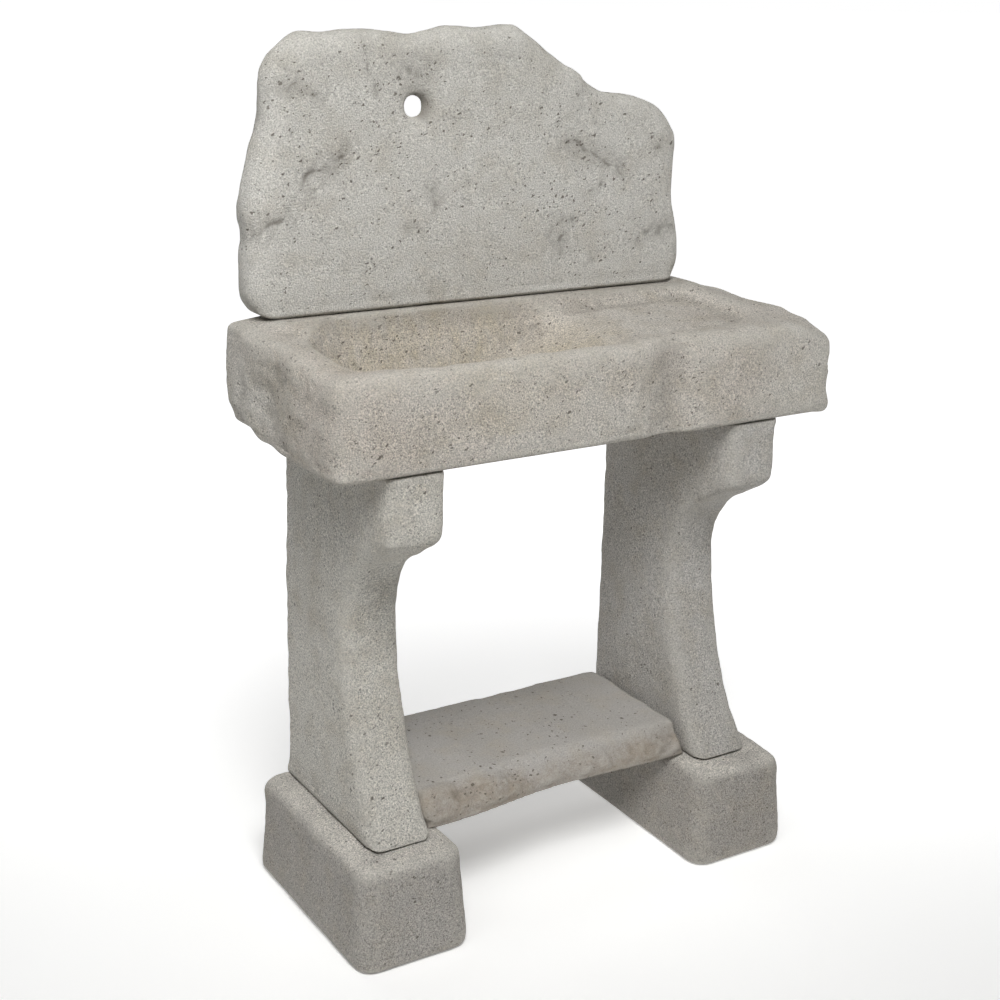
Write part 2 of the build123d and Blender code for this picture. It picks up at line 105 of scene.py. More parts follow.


# Cast stone: sand, lime and grey cement poured in a mould and left matt. The eye sees broad pale clouds,
# ochre mottling, a sandy grain, small air holes and hollows painted dark as painted shade, and edges painted
# lighter, partly rubbed wear and partly a painted highlight.
def castStone(name, look):
    material, tree, shader, place = startMaterial(name)
    # Broad clouds between the pale and the deep tone, then ochre mottling over them
    clouds = addNode(tree, "ShaderNodeTexNoise", {"Vector": place, "Scale": perMetre(look["cloudSize"]),
                                                  "Detail": 4.0, "Roughness": 0.55}).outputs[0]
    cloudShare = addNode(tree, "ShaderNodeMapRange", {0: clouds, 1: 0.36, 2: 0.66}).outputs[0]
    tone = addNode(tree, "ShaderNodeMix", {0: cloudShare, 6: linear(look["pale"]), 7: linear(look["deep"])},
                   data_type="RGBA").outputs[2]
    mottle = addNode(tree, "ShaderNodeTexNoise", {"Vector": place, "Scale": perMetre(look["mottleSize"]),
                                                  "Detail": 6.0, "Roughness": 0.62}).outputs[0]
    mottleShare = addNode(tree, "ShaderNodeMapRange", {0: mottle, 1: 0.46, 2: 0.72, 3: 0.0,
                                                       4: look["mottleShare"]}).outputs[0]
    tone = addNode(tree, "ShaderNodeMix", {0: mottleShare, 6: tone, 7: linear(look["ochre"])},
                   data_type="RGBA").outputs[2]
    # Staining and painted light, where the piece's own attribute asks for it: real stains in the basin bowl
    # and on the shelf front, painted shade on the panel's top, painted top light on the feet
    stainAndPaintedLight = addNode(tree, "ShaderNodeAttribute", attribute_name="stainAndPaintedLight").outputs["Fac"]
    stainAndPaintedLightNoise = addNode(tree, "ShaderNodeMapRange", {0: mottle, 1: 0.34, 2: 0.64, 3: 0.45,
                                                      4: 1.0}).outputs[0]
    stainAndPaintedLightShare = addNode(tree, "ShaderNodeMath", {0: stainAndPaintedLight, 1: stainAndPaintedLightNoise}, operation="MULTIPLY").outputs[0]
    tone = addNode(tree, "ShaderNodeMix", {0: stainAndPaintedLightShare, 6: tone, 7: linear(look["stainAndPaintedLight"])},
                   data_type="RGBA").outputs[2]
    # Sandy grain, drawn a little coarser than real sand so that it shows
    grain = addNode(tree, "ShaderNodeTexNoise", {"Vector": place, "Scale": perMetre(look["grainSize"]),
                                                 "Detail": 3.0, "Roughness": 0.7}).outputs[0]
    grainShade = addNode(tree, "ShaderNodeMapRange", {0: grain, 1: 0.25, 2: 0.75, 3: 1 - look["grainShade"],
                                                      4: 1 + look["grainShade"]}).outputs[0]
    tone = addNode(tree, "ShaderNodeVectorMath", {0: tone, 1: grainShade}, operation="MULTIPLY").outputs[0]
    # Air holes of several sizes: a few cells of each pattern keep one. They are bent out of round, drawn out
    # along a slant and crowded in places.
    bend = addNode(tree, "ShaderNodeTexNoise", {"Vector": place, "Scale": perMetre(look["bendSize"]),
                                                "Detail": 1.0}).outputs[1]
    bent = addNode(tree, "ShaderNodeVectorMath", {0: bend, 1: [look["bendReach"] * mm] * 3, 2: place},
                   operation="MULTIPLY_ADD").outputs[0]
    bent = addNode(tree, "ShaderNodeMapping", {"Vector": bent, "Rotation": (0.0, look["pitSlant"], 0.0),
                                               "Scale": look["pitStretch"]},
                   vector_type="TEXTURE").outputs[0]
    crowd = addNode(tree, "ShaderNodeTexNoise", {"Vector": place, "Scale": perMetre(look["crowdSize"]),
                                                 "Detail": 2.0}).outputs[0]
    crowding = addNode(tree, "ShaderNodeMapRange", {0: crowd, 1: 0.36, 2: 0.64, 3: 0.55, 4: 1.0}).outputs[0]
    holes = 0.0
    for spacing, share, widest in look["pits"]:
        cells = addNode(tree, "ShaderNodeTexVoronoi", {"Vector": bent, "Scale": perMetre(spacing)})
        chance = addNode(tree, "ShaderNodeSeparateColor", {0: cells.outputs["Color"]}).outputs[0]
        radius = addNode(tree, "ShaderNodeMapRange", {0: chance, 1: 1 - share, 2: 1.0, 3: -0.02,
                                                      4: widest / spacing}).outputs[0]
        radius = addNode(tree, "ShaderNodeMath", {0: radius, 1: crowding}, operation="MULTIPLY").outputs[0]
        inside = addNode(tree, "ShaderNodeMath", {0: radius, 1: cells.outputs["Distance"]},
                         operation="SUBTRACT").outputs[0]
        hole = addNode(tree, "ShaderNodeMapRange", {0: inside, 1: 0.0, 2: 0.05}).outputs[0]
        holes = addNode(tree, "ShaderNodeMath", {0: holes, 1: hole}, operation="MAXIMUM").outputs[0]
    # The air holes are painted dark as well as sunk: painted shade inside them
    holeShare = addNode(tree, "ShaderNodeMath", {0: holes, 1: look["pitShade"]},
                        operation="MULTIPLY").outputs[0]
    tone = addNode(tree, "ShaderNodeMix", {0: holeShare, 6: tone, 7: linear(look["hollow"])},
                   data_type="RGBA").outputs[2]
    # Proud edges painted pale, partly rubbed wear and partly a painted highlight, and hollows painted dim as
    # painted shade; then grime and painted shade in dents, and painted shade in the low parts of broken faces
    proudMm = addNode(tree, "ShaderNodeAttribute", attribute_name="proudMm").outputs["Fac"]
    rubbedAndHighlit = addNode(tree, "ShaderNodeMapRange", {0: proudMm, 1: 0.10, 2: 0.70, 3: 0.0,
                                                  4: look["rubAndHighlightShare"]}).outputs[0]
    tone = addNode(tree, "ShaderNodeMix", {0: rubbedAndHighlit, 6: tone, 7: linear(look["rubbedAndHighlit"])},
                   data_type="RGBA").outputs[2]
    hollows = addNode(tree, "ShaderNodeMapRange", {0: proudMm, 1: -0.12, 2: -0.90, 3: 0.0,
                                                   4: look["hollowShare"]}).outputs[0]
    tone = addNode(tree, "ShaderNodeMix", {0: hollows, 6: tone, 7: linear(look["hollow"])},
                   data_type="RGBA").outputs[2]
    dents = addNode(tree, "ShaderNodeAttribute", attribute_name="dents").outputs["Fac"]
    grimeAndShade = addNode(tree, "ShaderNodeMapRange", {0: grain, 1: 0.30, 2: 0.62, 3: 0.35, 4: 1.0}).outputs[0]
    # Painted shade in the low parts of broken faces, added to the dents
    pits = addNode(tree, "ShaderNodeAttribute", attribute_name="pits").outputs["Fac"]
    dents = addNode(tree, "ShaderNodeMath", {0: pits, 1: look["brokenShade"], 2: dents},
                    operation="MULTIPLY_ADD").outputs[0]
    grimeAndShadeShare = addNode(tree, "ShaderNodeMath", {0: dents, 1: grimeAndShade}, operation="MULTIPLY").outputs[0]
    tone = addNode(tree, "ShaderNodeMix", {0: grimeAndShadeShare, 6: tone, 7: linear(look["hollow"])},
                   data_type="RGBA").outputs[2]
    # Relief from the grain and the air holes
    grainHeight = addNode(tree, "ShaderNodeMath", {0: grain, 1: look["grainRelief"]},
                          operation="MULTIPLY").outputs[0]
    height = addNode(tree, "ShaderNodeMath", {0: holes, 1: -1.0, 2: grainHeight},
                     operation="MULTIPLY_ADD").outputs[0]
    bump = addNode(tree, "ShaderNodeBump", {"Strength": 0.9, "Distance": look["pitDepth"] * mm,
                                            "Height": height}).outputs[0]
    setInputs(tree, shader, {"Base Color": tone, "Roughness": look["roughness"],
                             "Specular IOR Level": look["shine"], "Normal": bump})
    return material


# Heights in metres, wear in millimetres
hewnLook = {"noiseLow": 0.28, "noiseHigh": 0.72, "blurSteps": 14, "edgeFrom": 0.08, "edgeFull": 0.8,
            "floorFrom": 0.002, "floorFull": 0.012}


# Relief of a hand-finished casting: broad swells, ripples, chipped edges and broken faces
def hewnSurfaceTree(look):
    tree = bpy.data.node_groups.new("hewnSurface", "GeometryNodeTree")
    face = tree.interface
    face.new_socket(name="Geometry", in_out="INPUT", socket_type="NodeSocketGeometry")
    for name, value in (("Swell size", 0.12), ("Swell depth", 0.002), ("Ripple size", 0.02),
                        ("Ripple depth", 0.0008), ("Edge size", 0.04), ("Edge depth", 0.003),
                        ("Rough size", 0.03), ("Rough depth", 0.004), ("Seed", 1.0)):
        socket = face.new_socket(name=name, in_out="INPUT", socket_type="NodeSocketFloat")
        socket.default_value = value
    face.new_socket(name="Stone", in_out="INPUT", socket_type="NodeSocketMaterial")
    face.new_socket(name="Geometry", in_out="OUTPUT", socket_type="NodeSocketGeometry")
    given = addNode(tree, "NodeGroupInput").outputs
    place = addNode(tree, "GeometryNodeInputPosition").outputs[0]
    normal = addNode(tree, "GeometryNodeInputNormal").outputs[0]

    # One pattern for each kind of relief, with its own shift of the seed
    waves = {}
    for name, shift, detail, lowest in (("Swell", 0.0, 2.0, -1.0), ("Ripple", 7.3, 3.0, -1.0),
                                        ("Edge", 15.1, 3.0, 0.0), ("Rough", 21.7, 5.0, -1.0)):
        scale = addNode(tree, "ShaderNodeMath", {0: 1.0, 1: given[name + " size"]},
                        operation="DIVIDE").outputs[0]
        seed = addNode(tree, "ShaderNodeMath", {0: given["Seed"], 1: shift}, operation="ADD").outputs[0]
        noise = addNode(tree, "ShaderNodeTexNoise", {"Vector": place, "W": seed, "Scale": scale,
                                                     "Detail": detail}, noise_dimensions="4D").outputs[0]
        waves[name] = addNode(tree, "ShaderNodeMapRange", {0: noise, 1: look["noiseLow"],
                                                           2: look["noiseHigh"], 3: lowest,
                                                           4: 1.0}).outputs[0]

    # How far each point stands out of its blurred surroundings, in millimetres
    blurred = addNode(tree, "GeometryNodeBlurAttribute", {0: place, 1: look["blurSteps"]},
                      data_type="FLOAT_VECTOR").outputs[0]
    proud = addNode(tree, "ShaderNodeVectorMath", {0: place, 1: blurred}, operation="SUBTRACT").outputs[0]
    proudness = addNode(tree, "ShaderNodeVectorMath", {0: proud, 1: normal},
                        operation="DOT_PRODUCT").outputs["Value"]
    proudMm = addNode(tree, "ShaderNodeMath", {0: proudness, 1: 1.0 / mm}, operation="MULTIPLY").outputs[0]
    edge = addNode(tree, "ShaderNodeMapRange", {0: proudMm, 1: look["edgeFrom"],
                                                2: look["edgeFull"]}).outputs[0]
    chips = addNode(tree, "ShaderNodeMath", {0: edge, 1: waves["Edge"]}, operation="MULTIPLY").outputs[0]
    # Broken faces, where the piece's own attribute asks for them
    rough = addNode(tree, "GeometryNodeInputNamedAttribute", {0: "rough"}, data_type="FLOAT").outputs[0]
    broken = addNode(tree, "ShaderNodeMath", {0: rough, 1: waves["Rough"]}, operation="MULTIPLY").outputs[0]
    # How far broken faces are pushed in, kept so that their low parts get painted shade
    pits = addNode(tree, "ShaderNodeMath", {0: broken, 1: 0.0}, operation="MAXIMUM").outputs[0]

    # All relief added up, and none of it at the floor or at the joints
    depth = 0.0
    for name, share in (("Swell", waves["Swell"]), ("Ripple", waves["Ripple"]), ("Edge", chips),
                        ("Rough", broken)):
        depth = addNode(tree, "ShaderNodeMath", {0: given[name + " depth"], 1: share, 2: depth},
                        operation="MULTIPLY_ADD").outputs[0]
    lift = addNode(tree, "ShaderNodeSeparateXYZ", {0: place}).outputs[2]
    offFloor = addNode(tree, "ShaderNodeMapRange", {0: lift, 1: look["floorFrom"],
                                                    2: look["floorFull"]}).outputs[0]
    still = addNode(tree, "GeometryNodeInputNamedAttribute", {0: "still"}, data_type="FLOAT").outputs[0]
    free = addNode(tree, "ShaderNodeMath", {0: 1.0, 1: still}, operation="SUBTRACT").outputs[0]
    for share in (offFloor, free, -1.0):
        depth = addNode(tree, "ShaderNodeMath", {0: depth, 1: share}, operation="MULTIPLY").outputs[0]
    cut = addNode(tree, "ShaderNodeVectorMath", {0: normal, "Scale": depth}, operation="SCALE").outputs[0]

    kept = addNode(tree, "GeometryNodeSetPosition", {"Geometry": given["Geometry"],
                                                     "Offset": cut}).outputs[0]
    for name, values in (("pits", pits), ("proudMm", proudMm)):
        kept = addNode(tree, "GeometryNodeStoreNamedAttribute", {"Geometry": kept, "Name": name,
                                                                 "Value": values},
                       data_type="FLOAT", domain="POINT").outputs[0]
    kept = addNode(tree, "GeometryNodeRealizeInstances", {0: kept}).outputs[0]
    kept = addNode(tree, "GeometryNodeSetMaterial", {"Geometry": kept,
                                                     "Material": given["Stone"]}).outputs[0]
    addNode(tree, "NodeGroupOutput", {0: kept})
    return tree


hewnSurface = hewnSurfaceTree(hewnLook)


def readPoints(shape):
    points = np.empty(len(shape.vertices) * 3)
    shape.vertices.foreach_get("co", points)
    normals = np.empty(len(shape.vertices) * 3)
    shape.vertices.foreach_get("normal", normals)
    return points.reshape(-1, 3), normals.reshape(-1, 3)


def writePoints(shape, points):
    shape.vertices.foreach_set("co", points.ravel())
    shape.update()


def setAttribute(shape, name, values):
    attribute = shape.attributes.get(name) or shape.attributes.new(name, "FLOAT", "POINT")
    attribute.data.foreach_set("value", np.asarray(values, np.float32))


def ramp(values, start, length):  # rises from 0 to 1 over this length, or falls back where it is negative
    return np.clip((values - start) / length, 0, 1)


# Eases a mesh towards its neighbours' mean, by a share at each point
def easeShape(shape, share, steps):
    points = readPoints(shape)[0]
    edges = np.empty(len(shape.edges) * 2, int)
    shape.edges.foreach_get("vertices", edges)
    starts, ends = edges.reshape(-1, 2).T
    degree = np.bincount(edges, minlength=len(points))
    for step in range(steps):
        around = np.stack([np.bincount(starts, line[ends], len(line))
                           + np.bincount(ends, line[starts], len(line)) for line in points.T], axis=1)
        points += 0.5 * share[:, None] * (around / degree[:, None] - points)
    writePoints(shape, points)


def plainMesh(obj, name):
    bpy.context.view_layer.update()
    shape = bpy.data.meshes.new_from_object(obj.evaluated_get(bpy.context.evaluated_depsgraph_get()))
    shape.name = name
    return shape


blankLook = {"weld": 0.02, "jointShare": 1.6, "jointFade": 9.0}


# Even mesh of a CAD casting, fine enough to carry its wear. Its edges are eased, apart from the joints.
def blankOf(node, name, look):
    joined = bmesh.new()
    joined.from_mesh(frame["nodes"][node].data)
    bmesh.ops.remove_doubles(joined, verts=joined.verts, dist=blankLook["weld"] * mm)
    shape = bpy.data.meshes.new(name)
    joined.to_mesh(shape)
    joined.free()
    blank = bpy.data.objects.new(name, shape)
    bpy.context.scene.collection.objects.link(blank)
    cells = blank.modifiers.new("cells", "REMESH")
    cells.mode = "VOXEL"
    cells.voxel_size = look["voxel"] * mm
    final = plainMesh(blank, name)
    blank.modifiers.clear()
    blank.data = final
    points = readPoints(final)[0]
    still = np.zeros(len(points))
    for height in look["joints"]:
        away = np.abs(points[:, 2] / mm - height)
        still = np.maximum(still, np.clip(blankLook["jointShare"] - away / blankLook["jointFade"], 0, 1))
    easeShape(final, np.ones(len(points)), look["evenOut"])
    easeShape(final, 1 - still, look["smoothing"] - look["evenOut"])
    setAttribute(final, "still", still)
    return blank


waveLook = {"count": 18, "spread": 5.0, "shortest": 0.6, "longest": 1.6}


# Smooth made-up unevenness from crossed waves, mostly between -1 and 1
def waviness(points, size, seed):
    turn = np.random.default_rng(seed)
    total = np.zeros(len(points))
    for step in range(waveLook["count"]):
        direction = turn.normal(size=3)
        direction /= np.linalg.norm(direction)
        pitch = 2 * math.pi / (size * mm * turn.uniform(waveLook["shortest"], waveLook["longest"]))
        total += np.sin(points @ direction * pitch + turn.uniform(0, 2 * math.pi))
    return total / waveLook["spread"]


def distanceToPath(points, path):
    nearest = np.full(len(points), 1e9)
    for start, end in zip(path, path[1:] if len(path) > 1 else path):
        run = np.subtract(end, start)
        along = np.clip(((points - start) @ run) / max(run @ run, 1e-12), 0, 1)
        nearest = np.minimum(nearest, np.linalg.norm(points - start - along[:, None] * run, axis=1))
    return nearest


markLook = {"raggedSize": 9, "wanderSize": 30, "narrowest": 0.35, "broadest": 1.65}


# Presses marks into a casting: each has a path in millimetres, a half width, a depth and a share of
# darkening, which is real grime on some marks and painted shade on others.
# Its edge is ragged by a share of the width, and it wanders off the path by some millimetres.
def pressMarks(shape, marks, seed):
    points, normals = readPoints(shape)
    moved = points.copy()
    grimeAndShade = np.zeros(len(points))
    fine = waviness(points, markLook["raggedSize"], seed)
    sways = [waviness(points, markLook["wanderSize"], seed + step) for step in (1, 2, 3)]
    astray = np.stack(sways, axis=1) * mm
    for mark in marks:
        path = [np.array(p) * mm for p in mark["path"]]
        spread = np.clip(1 + mark.get("ragged", 0.0) * fine, markLook["narrowest"], markLook["broadest"])
        reach = mark["width"] * mm * spread
        share = np.clip(1 - distanceToPath(points + mark.get("wander", 0.0) * astray, path) / reach, 0, 1)
        share = share * share * (3 - 2 * share)
        push = np.array(mark["push"]) if "push" in mark else -normals
        moved += push * (share * mark["depth"] * mm)[:, None]
        grimeAndShade = np.maximum(grimeAndShade, share * mark.get("grimeAndShade", 0.0))
    writePoints(shape, moved)
    return grimeAndShade


def finishCasting(casting, node, relief, material):
    work = casting.modifiers.new("hewn", "NODES")
    work.node_group = hewnSurface
    ids = {item.name: item.identifier for item in hewnSurface.interface.items_tree
           if item.in_out == "INPUT"}
    for name, value in relief.items():
        work[ids[name]] = float(value)
    work[ids["Stone"]] = material
    final = plainMesh(casting, casting.name)
    casting.modifiers.clear()
    casting.data = final
    writePoints(final, np.clip(readPoints(final)[0], *cadBox))  # relief never leaves the CAD box
    final.polygons.foreach_set("use_smooth", np.ones(len(final.polygons), bool))
    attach(casting, "root")
    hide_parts(node)
    print(casting.name, "finished with", len(final.polygons), "faces")


# Back panel: hewn outline, leaning face and scars
panelLook = {
    "voxel": 2.7, "smoothing": 34, "evenOut": 4, "joints": (850.0,),
    "lowFront": 110.0, "lean": 16.0 / 385.0, "bottom": 850.0, "thickness": 60.0,
    "edgeRadius": 22.0, "footRadius": 9.0, "lift": 5.0, "liftTo": 60.0,
    "holeMiddle": (-133.0, 1126.0), "holeEdge": 10.0, "holeReach": 34.0, "holeWiden": 4.5,
    "grow": 3.0, "growLeft": 3.5, "growFull": 40.0,
    "topShadeFrom": 990.0, "topShadeRun": 220.0, "topShadeShare": 0.5,
    "relief": {"Swell size": 0.15, "Swell depth": 0.0016, "Ripple size": 0.022, "Ripple depth": 0.0005,
               "Edge size": 0.07, "Edge depth": 0.0028, "Rough size": 0.075, "Rough depth": 0.0020,
               "Seed": 3.0},
    # Each scar is a wide smudge with a narrow crack in it, by shares of its width, depth and grime
    "scarLayers": ((2.3, 0.4, 0.55), (0.6, 0.45, 1.25)), "ragged": 0.5, "wander": 5,
    # Scars on the face, as points across and up, then half width, depth and grime
    "scars": (
        (((-304, 1039), (-281, 1048), (-263, 1058), (-249, 1070)), 11, 3.0, 0.75),
        (((-307, 1008), (-297, 1015)), 7, 2.0, 0.5),
        (((-393, 971), (-379, 974), (-356, 979), (-335, 988)), 12, 4.0, 0.6),
        (((-351, 1156), (-323, 1156), (-300, 1150), (-279, 1142)), 9, 2.2, 0.55),
        (((-215, 1224), (-209, 1190), (-203, 1166), (-190, 1143)), 6, 1.6, 0.3),
        (((-140, 1172),), 20, 1.2, 0.45),
        (((-114, 1018), (-108, 1005), (-112, 994)), 9, 2.4, 0.6),
        (((-52, 1024),), 6, 1.6, 0.5),
        (((-156, 966), (-137, 962)), 6, 1.4, 0.45),
        (((115, 1070), (141, 1059), (177, 1044), (204, 1034)), 13, 3.0, 0.55),
        (((158, 998), (169, 1006)), 7, 1.6, 0.45),
        (((98, 922), (106, 934)), 13, 2.4, 0.6),
        (((82, 942), (92, 958), (108, 962), (124, 954)), 6, 1.6, 0.5),
        (((152, 905), (153, 899)), 6, 1.6, 0.8),
        (((246, 928), (272, 934), (302, 941)), 10, 2.6, 0.45),
        (((268, 1058), (292, 1071)), 7, 2.0, 0.4),
        (((5, 1194), (18, 1196)), 7, 1.6, 0.35),
        (((128, 1132), (142, 1138)), 9, 2.4, 0.5),
        (((-328, 1193), (-324, 1183), (-318, 1173)), 6, 1.4, 0.35),
        (((-109, 859),), 14, 2.4, 0.2),
    ),
    # Lumps and notches along the hewn edge, pushed out or in; then a stained hollow above the spout hole and
    # painted shade on the hole's right inner wall
    "lumps": (
        {"path": ((120, 124, 1170), (132, 126, 1160)), "width": 19, "depth": 8.0, "push": (0.6, -0.15, 0.79)},
        {"path": ((262, 122, 1104), (300, 124, 1076)), "width": 40, "depth": 4.0, "push": (0.6, 0, 0.8)},
        {"path": ((196, 118, 1130),), "width": 16, "depth": 5.0, "push": (0, 0, -1)},
        {"path": ((-392, 108, 968), (-388, 160, 964)), "width": 24, "depth": 5.0, "push": (1, 0.3, 0)},
        {"path": ((-268, 118, 1222), (-262, 160, 1224)), "width": 40, "depth": 4.0, "push": (0, 0, -1)},
        {"path": ((318, 110, 975), (318, 165, 975)), "width": 26, "depth": 3.0, "push": (-1, 0, 0)},
        {"path": ((-130, 116, 1166),), "width": 44, "depth": 4.0, "push": (0, 1, 0), "grimeAndShade": 0.24},
        # Painted shade on the spout hole's right inner wall
        {"path": ((-122, 136, 1144), (-114, 136, 1134), (-113, 136, 1122), (-118, 136, 1110)), "width": 21,
         "depth": 0.5, "push": (0, 1, 0), "grimeAndShade": 1.0},
    ),
}
panel = blankOf("back_panel", "backPanel", panelLook)
points, outward = readPoints(panel.data)
height = points[:, 2] / mm - panelLook["bottom"]
setBack = points[:, 1] / mm - panelLook["lowFront"] - panelLook["lean"] * height
# Tighter edge along the foot, lifted with the seat under it
drop = np.clip(panelLook["edgeRadius"] - height, 0, panelLook["edgeRadius"])
roundBefore = panelLook["edgeRadius"] - np.sqrt(panelLook["edgeRadius"] ** 2 - drop ** 2)
drop = np.clip(panelLook["footRadius"] - height, 0, panelLook["footRadius"])
roundAfter = panelLook["footRadius"] - np.sqrt(panelLook["footRadius"] ** 2 - drop ** 2)
share = ramp(setBack, panelLook["thickness"], panelLook["edgeRadius"] - panelLook["thickness"])
points[:, 1] += (roundAfter - roundBefore) * share * mm
points[:, 2] += ramp(height, panelLook["liftTo"], -panelLook["liftTo"]) * panelLook["lift"] * mm
# Spout hole and outline brought back to size after the easing
spoke = points[:, (0, 2)] / mm - panelLook["holeMiddle"]
fromHole = np.linalg.norm(spoke, axis=1)
wider = ramp(fromHole, panelLook["holeEdge"] + panelLook["holeReach"], -panelLook["holeReach"]) ** 2
wider *= panelLook["holeWiden"]
points[:, (0, 2)] += spoke / np.maximum(fromHole, 1)[:, None] * wider[:, None] * mm
sideways = np.clip(1 - np.abs(outward[:, 1]), 0, 1) * ramp(height, 0, panelLook["growFull"]) * mm
points[:, 0] += panelLook["grow"] * outward[:, 0] * sideways
points[:, 0] += panelLook["growLeft"] * np.minimum(outward[:, 0], 0) * sideways
points[:, 2] += panelLook["grow"] * outward[:, 2] * sideways
writePoints(panel.data, points)
panelMarks = []
for path, width, depth, grimeAndShade in panelLook["scars"]:
    onFace = [(x, panelLook["lowFront"] + (z - panelLook["bottom"]) * panelLook["lean"], z) for x, z in path]
    for widthShare, depthShare, grimeAndShadeShare in panelLook["scarLayers"]:
        panelMarks.append({"path": onFace, "width": widthShare * width, "depth": depthShare * depth,
                           "grimeAndShade": grimeAndShadeShare * grimeAndShade, "ragged": panelLook["ragged"],
                           "wander": panelLook["wander"]})
panelMarks += panelLook["lumps"]
setAttribute(panel.data, "dents", pressMarks(panel.data, panelMarks, 5))
points, normals = readPoints(panel.data)
setAttribute(panel.data, "rough", np.clip(1.1 - 1.5 * np.abs(normals[:, 1]), 0, 1))  # its sides alone
# Painted shade: the face is painted darker towards its top, to hold back the stronger top light there
paintedTopShade = ramp(points[:, 2] / mm, panelLook["topShadeFrom"], panelLook["topShadeRun"])
setAttribute(panel.data, "stainAndPaintedLight", panelLook["topShadeShare"] * paintedTopShade)
panelStone = castStone("castStonePanel", {**stoneLook, "pale": "#d5d3cd", "deep": "#cecbc4",
                                          "stainAndPaintedLight": "#a6a39a", "mottleShare": 0.3, "rubAndHighlightShare": 0.2,
                                          "grainShade": 0.52})
finishCasting(panel, "back_panel", panelLook["relief"], panelStone)

# Basin: a thick block with rims painted pale, partly rubbed wear and partly a painted highlight, and ochre
# damp in the bowl
basinLook = {
    "voxel": 3.2, "smoothing": 10, "evenOut": 4, "joints": (698.0, 849.0),
    "relief": {"Swell size": 0.13, "Swell depth": 0.0030, "Ripple size": 0.026, "Ripple depth": 0.0007,
               "Edge size": 0.06, "Edge depth": 0.0035, "Rough size": 0.05, "Rough depth": 0.0040,
               "Seed": 8.0},
    "topFrom": 770.0, "topFade": 20.0,
    "ridge": 36.0, "ridgeReach": 80.0, "ridgeFront": -100.0, "ridgeRear": 88.0, "ridgeSteps": 150,
    "lipFront": -138.0, "lipRear": 76.0, "lipFade": 20.0, "lipSteps": 40,
    "seatRise": 7.0, "riseFrom": 76.0, "riseAbove": 780.0, "riseLeft": -408.0, "riseRight": 420.0,
    "bowlMiddle": (-142.0, -8.0), "bowlHalf": (205.0, 120.0), "dampTop": 838.0, "dampFade": 14.0,
    "dampFloor": 735.0, "dampShare": 0.7, "rearFrom": 60.0, "rearFade": 20.0, "rearRise": 22.0,
    "roughFrom": 388.0, "roughFade": 16.0, "roughShare": 0.8,
}
basin = blankOf("basin", "washBasin", basinLook)
points, normals = readPoints(basin.data)
across, deep, high = points.T / mm
# Ridge between bowl and drainer worn soft, then the lip all round
onTop = ramp(high, basinLook["topFrom"], basinLook["topFade"]) * np.clip(normals[:, 2] * 3, 0, 1)
ridge = np.clip(1.2 - np.abs(across - basinLook["ridge"]) / basinLook["ridgeReach"], 0, 1) * onTop
ridge *= ramp(deep, basinLook["ridgeFront"], 25) * ramp(deep, basinLook["ridgeRear"], -20)
easeShape(basin.data, ridge, basinLook["ridgeSteps"])
lip = onTop * ramp(deep, basinLook["lipRear"], -basinLook["lipFade"])
lip *= ramp(deep, basinLook["lipFront"], basinLook["lipFade"])
easeShape(basin.data, lip, basinLook["lipSteps"])
# Seat strip along the panel, a little higher than the rest
points = readPoints(basin.data)[0]
rise = ramp(deep, basinLook["riseFrom"], 26) * ramp(high, basinLook["riseAbove"], 40)
rise *= ramp(across, basinLook["riseLeft"], 60) * np.maximum(ramp(across, basinLook["riseRight"], -90), 0.3)
points[:, 2] += rise * basinLook["seatRise"] * mm
writePoints(basin.data, points)
# In turn: raised front rim, painted shade along the panel's foot, groove, lumps and worn edges of the right
# end, chip under the front, hollow and broken corner of the left end, worn left rim, flute with painted
# shade, worn front left corner
basinMarks = [
    {"path": ((-385, -138, 820), (-200, -142, 822), (60, -142, 822), (180, -140, 823), (330, -138, 823)),
     "width": 52, "depth": 8.0, "push": (0, 0, 1)},
    # Painted shade in the crease at the panel's foot
    {"path": ((-330, 100, 846), (-100, 102, 842), (90, 102, 842), (300, 106, 850)), "width": 30,
     "depth": 0.5,
     "grimeAndShade": 0.30, "ragged": 0.5},
    {"path": ((406, -150, 772), (406, -60, 764)), "width": 15,
     "depth": 9.0, "push": (-1, 0, 0), "grimeAndShade": 0.15},
    {"path": ((398, 90, 842), (400, 20, 838), (396, -40, 834)), "width": 46,
     "depth": 8.0, "push": (0, 0, 1)},
    {"path": ((372, 66, 846),), "width": 24, "depth": 3.0, "push": (0, 0, 1)},
    {"path": ((404, -130, 826), (396, -158, 816)), "width": 46, "depth": 8.0, "push": (-0.5, 0.3, -0.81)},
    {"path": ((406, -150, 702), (406, -40, 702)), "width": 30, "depth": 4.0, "push": (0.6, 0, -0.8)},
    {"path": ((22, -160, 700), (60, -160, 698)), "width": 20, "depth": 6.0, "push": (0, 0.4, 0.92)},
    {"path": ((-402, 20, 800), (-404, 40, 760), (-404, 60, 715)), "width": 60,
     "depth": 9.0, "push": (1, 0, 0)},
    {"path": ((-404, 168, 702), (-404, 120, 700)), "width": 44, "depth": 13.0, "push": (0.6, -0.2, 0.77)},
    {"path": ((-340, -80, 843), (-342, 0, 845), (-338, 60, 846)), "width": 56,
     "depth": 7.0, "push": (0, 0, -1)},
    # Painted shade in the flute
    {"path": ((117, -160, 812), (118, -164, 770), (114, -162, 705)), "width": 44,
     "depth": 3.0, "grimeAndShade": 0.32},
    {"path": ((-404, -158, 700), (-404, -158, 770)), "width": 34, "depth": 8.0, "push": (0.7, 0.7, 0)},
]
setAttribute(basin.data, "dents", pressMarks(basin.data, basinMarks, 11))
